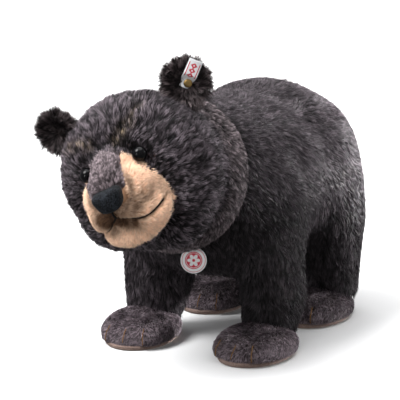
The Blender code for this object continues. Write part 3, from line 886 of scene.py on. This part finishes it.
# painted shade low on the front legs and chest, heavier on the left, and on the low fronts of the rear legs
low_painted_shade = (0.34 + 0.62 * smooth01(x, -22, 8)) * smooth01(-z, -195, -140) * smooth01(-y, -60, 20)
low_painted_shade = np.maximum(low_painted_shade, 0.8 * smooth01(-z, -150, -112) * (y > 25) * smooth01(LEG_MID["rear_left"][1] - y, -38, -10))
rise = np.radians(np.full(len(p), 44.0)) - np.radians(12) * heel
fall = np.radians(np.full(len(p), 7.0))
for name, pick, slot_seed in (("coat_trunk_left", (zone == 0) & (x >= 0), 41), ("coat_trunk_right", (zone == 0) & (x < 0), 43),
                              ("coat_legs_front", zone == 1, 47), ("coat_legs_rear", zone == 2, 53)):
    k = pick
    v, lock = grow(p[k], n[k], way[k], length[k], rise[k], fall[k], 0.56, 2.7, 0.5, 0.45, slot_seed, 0.2, skin.each)
    if "trunk" in name:
        s = 1 if "left" in name else -1
        uv = np.stack([(y[k] + 140) / 320, np.arctan2(x[k] * s, z[k] - 159) / math.pi], 1)
    else:
        w0 = ("front_left", "front_right") if "front" in name else ("rear_left", "rear_right")
        uv = np.zeros((k.sum(), 2))
        for i, w in enumerate(w0):
            lx, ly = LEG_MID[w]
            half = (x[k] >= 0) == (i == 0)
            a = np.arctan2(y[k] - ly, x[k] - lx) / (2 * math.pi) + 0.5
            uv[half] = np.stack([0.5 * i + 0.5 * a, (z[k] - 15) / 116], 1)[half]
    coat(name, v, lock, {"warm": 0.35 * heel[k], "painted_shade_and_patches": np.maximum(np.maximum(0.9 * groove[k], low_painted_shade[k]), painted_back_shade_and_patches[k])}, uv, "long_pile", long_pile, 0.55)

# --- paws
for pair in ("front", "rear"):
    vs, locks, uvs = [], [], []
    for i, side in enumerate(("left", "right")):
        w = pair + "_" + side
        skin = Skin(paws[w])
        px, py, s = PAWS[w]
        p, n = skin.roots(24000 * SHARE, lambda q: np.where((q[:, 2] > 5.0), 1.0, 0.0))
        ankle = V([px, py + 30, 44.0])
        way = unit(p - ankle)
        low = smooth01(-p[:, 2], -16, -6)
        v, lock = grow(p, n, way, 4.6 - 1.0 * low, np.radians(36 - 8 * low), np.radians(12 - 6 * low), 0.46, 1.4, 0.3, 0.5, 61 + i, 0.30, skin.each)
        vs.append(v)
        locks.append(lock)
        uvs.append(dome(p - V([px, py, 0.0]), math.radians(96), (0.24, 0.48), (0.25 + 0.5 * i, 0.5)))
    v = np.concatenate(vs)
    v[:, :, 2] = np.maximum(v[:, :, 2], 3.6)
    # painted shade: the left paws a little darker and the rear paws darker
    coat("coat_paws_" + pair, v, np.concatenate(locks), {"warm": np.full(len(v), 0.05), "painted_shade_and_patches": 0.12 * (v[:, 0, 0] > 0) + 0.5 * (v[:, 0, 1] > 40)}, np.concatenate(uvs), "short_pile", short_pile, 0.7)


# ------------------------------------------------------------- hard pieces
def claim(ob, slot_name, *replaced, fill=None):
    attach(ob, "root")
    if replaced:
        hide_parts(*replaced)
    return ob


claim(head, "long_pile", "head", "muzzle", fill=0.9)
claim(body, "long_pile", *BODY_NODES, fill=0.9)
for w, ob in paws.items():
    claim(ob, "short_pile", "paw_" + w, fill=0.9)
for side, ob in ears.items():
    claim(ob, "long_pile", "ear_" + side, fill=0.6)


def grid_ball(name, place, ring=96, rows=64):
    """A closed ball of rings: place(a, b) maps angles to a point."""
    pts = [place(0.0, -math.pi / 2)]
    for j in range(1, rows):
        b = -math.pi / 2 + math.pi * j / rows
        pts += [place(2 * math.pi * i / ring, b) for i in range(ring)]
    pts.append(place(0.0, math.pi / 2))
    faces = []
    for i in range(ring):
        i2 = (i + 1) % ring
        faces.append((0, 1 + i2, 1 + i))
        for j in range(rows - 2):
            a, b = 1 + j * ring, 1 + (j + 1) * ring
            faces.append((a + i, a + i2, b + i2, b + i))
        faces.append((len(pts) - 1, 1 + (rows - 2) * ring + i, 1 + (rows - 2) * ring + i2))
    return new_object(name, V(pts), faces)


def bent(c, e):
    return math.copysign(abs(c) ** e, c)


NOSE = V([90, -2.8, 21.9])
NOSE_HALF = V([8.6, 15.7, 10.1])


def nose_point(a, b):
    f = bent(math.cos(b) * math.cos(a), 0.55)
    l = bent(math.cos(b) * math.sin(a), 0.5)
    u = bent(math.sin(b), 0.5)
    q = V([f, l, u])
    wide = 1.0 - 0.30 * (0.5 - 0.5 * u) ** 1.2
    arch = 1.6 * (1 - l * l) - 1.0
    low = 1.2 * (1 - l * l) * (u < 0)
    dome_f = 1.8 * (1 - l * l) * (1 - 0.6 * u * u)
    return on_head(NOSE + V([q[0] * NOSE_HALF[0] + dome_f * (f > 0) - 1.0, q[1] * NOSE_HALF[1] * wide,
                             q[2] * (NOSE_HALF[2] - 0.4) + arch * (u > 0) - low + 0.4 * q[1]]))


nose = grid_ball("nose_felt_piece", nose_point)
nose.data.materials.append(nose_felt)
claim(nose, "nose_felt", "nose")

for side, s in (("left", 1), ("right", -1)):
    c = on_head(EYES[s])
    ob = grid_ball("eye_glass_" + side, lambda a, b: c + V([math.cos(b) * math.cos(a), math.cos(b) * math.sin(a), math.sin(b)]) * (EYE_RADIUS - 0.1), 64, 40)
    ob.data.materials.append(glass)
    claim(ob, "black_glass", "eye_" + side)

for w in PAWS:
    node = frame["nodes"]["sole_" + w]
    node.data.materials.clear()
    node.data.materials.append(sole_felt)


def tube(name, line, radius, material, sides=8):
    """A thread along the points of line, round at both ends."""
    line = V(line, float)
    t = np.gradient(line, axis=0)
    t = unit(t)
    ref = unit(np.cross(t, V([0.3, 0.2, 0.9])))
    other = np.cross(t, ref)
    m = len(line)
    grow_r = np.sin(np.clip(np.linspace(0, 1, m) * m / 2.0, 0, 1) * math.pi / 2) * np.sin(np.clip(np.linspace(1, 0, m) * m / 2.0, 0, 1) * math.pi / 2)
    grow_r = np.maximum(grow_r, 0.05) * radius
    pts, faces = [], []
    for i in range(m):
        for j in range(sides):
            a = 2 * math.pi * j / sides
            pts.append(line[i] + grow_r[i] * (math.cos(a) * ref[i] + math.sin(a) * other[i]))
    for i in range(m - 1):
        for j in range(sides):
            j2 = (j + 1) % sides
            faces.append((i * sides + j, i * sides + j2, (i + 1) * sides + j2, (i + 1) * sides + j))
    faces.append(tuple(range(sides))[::-1])
    faces.append(tuple((m - 1) * sides + j for j in range(sides)))
    ob = new_object(name, V(pts), faces)
    ob.data.materials.append(material)
    return ob


def tree_of(ob):
    p = coords(ob)
    return BVHTree.FromPolygons([Vector(v) for v in p], [tuple(t) for t in triangles(ob)])


face = tree_of(head)
line = []
for l in np.linspace(-23.6, 34.8, 90):
    u = float(mouth_height(l))
    start = on_head((140.0, l, u))
    hit = face.ray_cast(Vector(start), Vector(-HEAD[:, 0]))
    if hit[0] is not None:
        line.append(V(hit[0]) + V(hit[1]) * 0.9)
line = V(line)
for _ in range(3):
    line[1:-1] = 0.25 * line[:-2] + 0.5 * line[1:-1] + 0.25 * line[2:]
claim(tube("mouth_thread", line, 0.85, thread_black), "nose_felt")
drop = []
for u in np.linspace(11.5, 2.6, 14):
    hit = face.ray_cast(Vector(on_head((140.0, -5.0, u))), Vector(-HEAD[:, 0]))
    drop.append(V(hit[0]) + V(hit[1]) * 1.8)
claim(tube("mouth_thread_drop", drop, 1.0, thread_black), "nose_felt")

for w, (px, py, s) in PAWS.items():
    top = tree_of(paws[w])
    way = paw_way[w]
    for i, across in enumerate((-17.5, 0.0, 17.5)):
        pts = []
        for e in np.linspace(math.radians(6), math.radians(40), 20):
            # from beside the sole up over the toe, in a plane across the toe's edge
            inner = V([px, py, 0.0]) + way @ V([across * 0.86, -22 + abs(across) * 0.25, 4.0])
            lean = across * 0.010
            ray = way @ V([lean * math.cos(e), -math.cos(e), math.sin(e)])
            hit = top.ray_cast(Vector(inner + ray * 80), Vector(-ray))
            if hit[0] is not None:
                pts.append(V(hit[0]) + V(hit[1]) * 3.6)
        pts = [q for q in pts if q[2] > 4.6]
        if len(pts) > 5:
            claim(tube(f"claw_thread_{w}_{i}", pts, 0.5, thread_ochre, 6), "short_pile")

# --- ribbon in the ear, its rivet, and the round card at the chest
TAG_WIDTH, TAG_THICK = 13.2, 0.9
TAG_LEAN = math.radians(40.5)
TAG_LINE = V([(-5.5, 5.0), (3.5, 5.0), (9.0, 10.0), (24.0, 8.5)])
TAG_RIVET = V([0, 1.9, -0.2])
EAR_WAY = ear_axes(1)
EAR_MIDDLE = on_head(EAR)
ALONG = V([0, math.cos(TAG_LEAN), math.sin(TAG_LEAN)])
ACROSS = V([0, math.sin(TAG_LEAN), -math.cos(TAG_LEAN)])


def on_ear(a, c, forward):
    return EAR_MIDDLE + EAR_WAY @ (TAG_RIVET + ALONG * a + ACROSS * c + V([forward, 0, 0]))


seg = np.concatenate([[0], np.cumsum(np.linalg.norm(np.diff(TAG_LINE, axis=0), axis=1))])
TAG_LENGTH = float(seg[-1])


def tag_path(t):
    """(along, forward) at a length t up the strip, its folds rounded off."""
    pts = []
    for k in np.linspace(-0.9, 0.9, 7):
        q = np.clip(t + k, 0, TAG_LENGTH)
        pts.append([np.interp(q, seg, TAG_LINE[:, 0]), np.interp(q, seg, TAG_LINE[:, 1])])
    end = np.clip(t, 0.9, TAG_LENGTH - 0.9)
    return V(pts).mean(0) + 0.5 * (t - end) * V([1, 0]) * (t != end)


NA, NC = 78, 33
verts, faces, red = [], [], []
for top in (1, -1):
    for i in range(NA + 1):
        t = TAG_LENGTH * i / NA
        a0, a1 = tag_path(max(t - 0.3, 0)), tag_path(min(t + 0.3, TAG_LENGTH))
        d = unit(a1 - a0)
        for j in range(NC + 1):
            pinch = 1 - float(smooth01(t, 3.5, 11))            # gathered under the rivet
            c = -1.5 + TAG_WIDTH * (1 - 0.26 * pinch) * (j / NC - 0.5)
            a, fwd = tag_path(t)
            edge = min(1.0, min(j, NC - j) / 1.5 + 0.25) * min(1.0, min(i, NA - i) / 1.5 + 0.25)
            curl = -(0.5 * smooth01(t, 12, 26) + 3.0 * pinch) * (2 * j / NC - 1) ** 2
            half = top * 0.5 * (TAG_THICK - 0.2) * edge
            verts.append(on_ear(a - d[1] * half, c, fwd + d[0] * half + curl))
row = NC + 1


def motif(t, c):
    """Woven pattern of the strip: a line along each edge, lozenges between."""
    if abs(abs(c) - 5.0) < 0.4 and 13.5 < t < 28.5:
        return True
    for t0 in (16.0, 21.0, 26.0):
        q = abs(t - t0) / 2.7 + abs(c) / 3.3
        if 0.36 < q < 1.0:
            return True
    return False


for side in (0, 1):
    off = side * (NA + 1) * row
    for i in range(NA):
        for j in range(NC):
            q = (off + i * row + j, off + (i + 1) * row + j, off + (i + 1) * row + j + 1, off + i * row + j + 1)
            faces.append(q if side == 0 else q[::-1])
            red.append(side == 0 and motif(TAG_LENGTH * (i + 0.5) / NA, TAG_WIDTH * ((j + 0.5) / NC - 0.5)))
off = (NA + 1) * row
rim = [(i, j) for j in range(NC + 1) for i in [0]] + [(i, NC) for i in range(1, NA + 1)] + \
      [(NA, j) for j in range(NC - 1, -1, -1)] + [(i, 0) for i in range(NA - 1, 0, -1)]
for (i, j), (i2, j2) in zip(rim, rim[1:] + rim[:1]):
    a, b = i * row + j, i2 * row + j2
    faces.append((a, b, off + b, off + a))
    red.append(False)
tag = new_object("ear_ribbon", V(verts), faces)
tag.data.materials.append(cloth_white)
tag.data.materials.append(cloth_red)
tag.data.polygons.foreach_set("material_index", V(red, int).astype(np.int32))
bm = bmesh.new()
bm.from_mesh(tag.data)
bmesh.ops.recalc_face_normals(bm, faces=bm.faces)
bm.to_mesh(tag.data)
bm.free()
claim(tag, "tag_cloth", "ear_tag")

rivet_c = TAG_LINE[0][1] + TAG_THICK / 2 + 0.35


def rivet_point(a, b):
    r = math.cos(b)
    rise = math.sin(b)
    tall = 1.75 if rise > 0 else 0.12
    flat = bent(rise, 0.8)
    fwd = rivet_c + 0.15 + tall * flat
    rr = 4.15 * bent(r, 0.8)
    return on_ear(rr * math.cos(a), rr * math.sin(a), fwd)


rivet = grid_ball("rivet_dome", rivet_point, 64, 40)
rivet.data.materials.append(brass)
claim(rivet, "rivet_brass", "ear_rivet")

HANG_TAG = V([17.5, -121, 101.5])
HT = V(Euler((0, 0, math.radians(25))).to_matrix() @ Euler((math.radians(80), 0, 0)).to_matrix())
R_CARD, T_CARD = 12.8, 1.4


def card_red_at(r, a):
    if abs(r - 11.35) < 0.16:
        return True
    if r > 8.55:
        return False
    petal = 2.9 + 3.4 * abs(math.cos(3 * a)) ** 0.8          # six-petalled rosette
    if 1.5 < r < petal:
        return False
    if abs(r - 7.45) < 0.2:
        return False
    return True


radii = np.concatenate([[0.0], np.arange(0.35, 12.2, 0.22), [12.25, 12.55, 12.8]])
RN = 144
verts, faces, red = [], [], []
for side in (1, -1):
    for r in radii:
        z = 0.7 - 0.35 * max(0.0, (r - 12.3) / 0.5) ** 2
        for i in range(RN if r > 0 else 1):
            a = 2 * math.pi * i / RN
            verts.append(HANG_TAG + HT @ V([r * math.cos(a), r * math.sin(a), side * z]))
ring0 = lambda k: 0 if k == 0 else 1 + (k - 1) * RN
count = 1 + (len(radii) - 1) * RN
for side in (0, 1):
    off = side * count
    for k in range(len(radii) - 1):
        r = (radii[k] + radii[k + 1]) / 2
        for i in range(RN):
            i2 = (i + 1) % RN
            b = ring0(k + 1)
            q = (off, off + b + i, off + b + i2) if k == 0 else \
                (off + ring0(k) + i, off + b + i, off + b + i2, off + ring0(k) + i2)
            faces.append(q if side == 0 else q[::-1])
            red.append(side == 0 and card_red_at(r, 2 * math.pi * (i + 0.5) / RN))
last = ring0(len(radii) - 1)
for i in range(RN):
    i2 = (i + 1) % RN
    faces.append((last + i, count + last + i, count + last + i2, last + i2))
    red.append(False)
card = new_object("chest_card", V(verts), faces, smooth=False)
card.data.materials.append(card_white)
card.data.materials.append(card_red)
card.data.polygons.foreach_set("material_index", V(red, int).astype(np.int32))
claim(card, "tag_card", "hang_tag")

# ------------------------------------------------- floor, lights and camera
def pane(name, x, y, z, half):
    me = bpy.data.meshes.new(name)
    me.from_pydata([(x - half, y - half, z), (x + half, y - half, z), (x + half, y + half, z), (x - half, y + half, z)], [], [(0, 1, 2, 3)])
    ob = bpy.data.objects.new(name, me)
    bpy.context.scene.collection.objects.link(ob)
    return ob


floor = pane("floor", 0, 0, -0.0003, 30)
# painted light: the floor is lighter away from the figure, so the far part of its shadow washes out
m, n_, l_, b_ = nodes_of("floor_painted_lighter_far")
place, far, span = n_.new("ShaderNodeNewGeometry"), n_.new("ShaderNodeVectorMath"), n_.new("ShaderNodeMapRange")
far.operation = "LENGTH"
l_.new(place.outputs["Position"], far.inputs[0])
l_.new(far.outputs["Value"], span.inputs["Value"])
span.inputs["From Min"].default_value, span.inputs["From Max"].default_value = 0.24, 0.44
l_.new(ramp(n_, l_, span.outputs["Result"], [(0.0, (0.83, 0.832, 0.838)), (1.0, (0.99, 0.99, 0.99))]), b_.inputs["Base Color"])
b_.inputs["Roughness"].default_value = 0.9
b_.inputs["Specular IOR Level"].default_value = 0.1
floor.data.materials.append(m)

world = bpy.data.worlds.new("studio")
bpy.context.scene.world = world
world.use_nodes = True
bg = world.node_tree.nodes["Background"]
bg.inputs["Color"].default_value = (1, 1, 1, 1)
bg.inputs["Strength"].default_value = 1.0
wn, wl = world.node_tree.nodes, world.node_tree.links
sky = wn.new("ShaderNodeTexCoord")
split = wn.new("ShaderNodeSeparateXYZ")
wl.new(sky.outputs["Generated"], split.inputs[0])
half = wn.new("ShaderNodeMath")
half.operation = "MULTIPLY_ADD"
half.inputs[1].default_value = half.inputs[2].default_value = 0.5
wl.new(split.outputs["Z"], half.inputs[0])
wl.new(ramp(wn, wl, half.outputs[0], [(0.0, 0.30), (0.44, 0.34), (0.52, 0.42), (1.0, 0.60)]), bg.inputs["Color"])
floor.visible_diffuse = False
floor.visible_glossy = False

AIM = lay(V([-38, 0, 131.7]))
BACK = unit(V([0.4473, -0.8665, 0.2215]))


def soft_light(name, at, power, size, size_y=None, aim=AIM):
    li = bpy.data.lights.new(name, "AREA")
    li.energy, li.size = power, size
    if size_y:
        li.shape, li.size_y = "RECTANGLE", size_y
    ob = bpy.data.objects.new(name, li)
    ob.location = Vector(at)
    ob.rotation_mode = "QUATERNION"
    ob.rotation_quaternion = (Vector(aim) - ob.location).to_track_quat("-Z", "Y")
    bpy.context.scene.collection.objects.link(ob)
    return ob




def sky_light(name, toward, power, spread):
    li = bpy.data.lights.new(name, "SUN")
    li.energy, li.angle = power, math.radians(spread)
    ob = bpy.data.objects.new(name, li)
    ob.rotation_mode = "QUATERNION"
    ob.rotation_quaternion = Vector(toward).to_track_quat("-Z", "Y")
    bpy.context.scene.collection.objects.link(ob)


sky_light("overhead", (0.05, -0.10, -1.0), 2.4, 60)
sky_light("key", (0.44, 0.50, -0.88), 5.0, 34)
# small lamps for the figure alone: a narrow and a wide one on the rump, one on the face
lit = bpy.data.collections.new("lit_by_lamps")
for ob in list(bpy.data.objects):
    if ob.type == "MESH" and ob is not floor:
        lit.objects.link(ob)


def lamp(name, at, target, power, cone, size):
    li = bpy.data.lights.new(name, "SPOT")
    li.energy, li.spot_size, li.spot_blend, li.shadow_soft_size = power, math.radians(cone), 1.0, size
    ob = bpy.data.objects.new(name, li)
    ob.location = Vector(at)
    ob.rotation_mode = "QUATERNION"
    ob.rotation_quaternion = (Vector(target) - ob.location).to_track_quat("-Z", "Y")
    bpy.context.scene.collection.objects.link(ob)
    ob.light_linking.receiver_collection = lit


rump = lay(V([98.0, 156, 198]))
lamp("rump_lamp", rump + V([1.1, 0.80, 0.60]), rump, 900, 7.6, 0.10)
lamp("flank_lamp", rump + V([1.1, 0.80, 0.60]), rump, 2600, 6.0, 0.30)
muzzle_at = lay(V([20.0, -262, 186]))
lamp("face_lamp", muzzle_at + V([-0.35, -1.5, 0.22]), muzzle_at, 62, 9, 0.12)

cam = bpy.data.cameras.new("camera")
cam.lens, cam.sensor_width = 2128 / 400 * 36, 36
cam.clip_start, cam.clip_end = 0.05, 100
camera = bpy.data.objects.new("camera", cam)
camera.location = Vector(AIM + BACK * 2.2)
camera.rotation_mode = "QUATERNION"
camera.rotation_quaternion = (-Vector(BACK)).to_track_quat("-Z", "Y")
bpy.context.scene.collection.objects.link(camera)
bpy.context.scene.camera = camera
bpy.context.scene.view_settings.view_transform = "Standard"
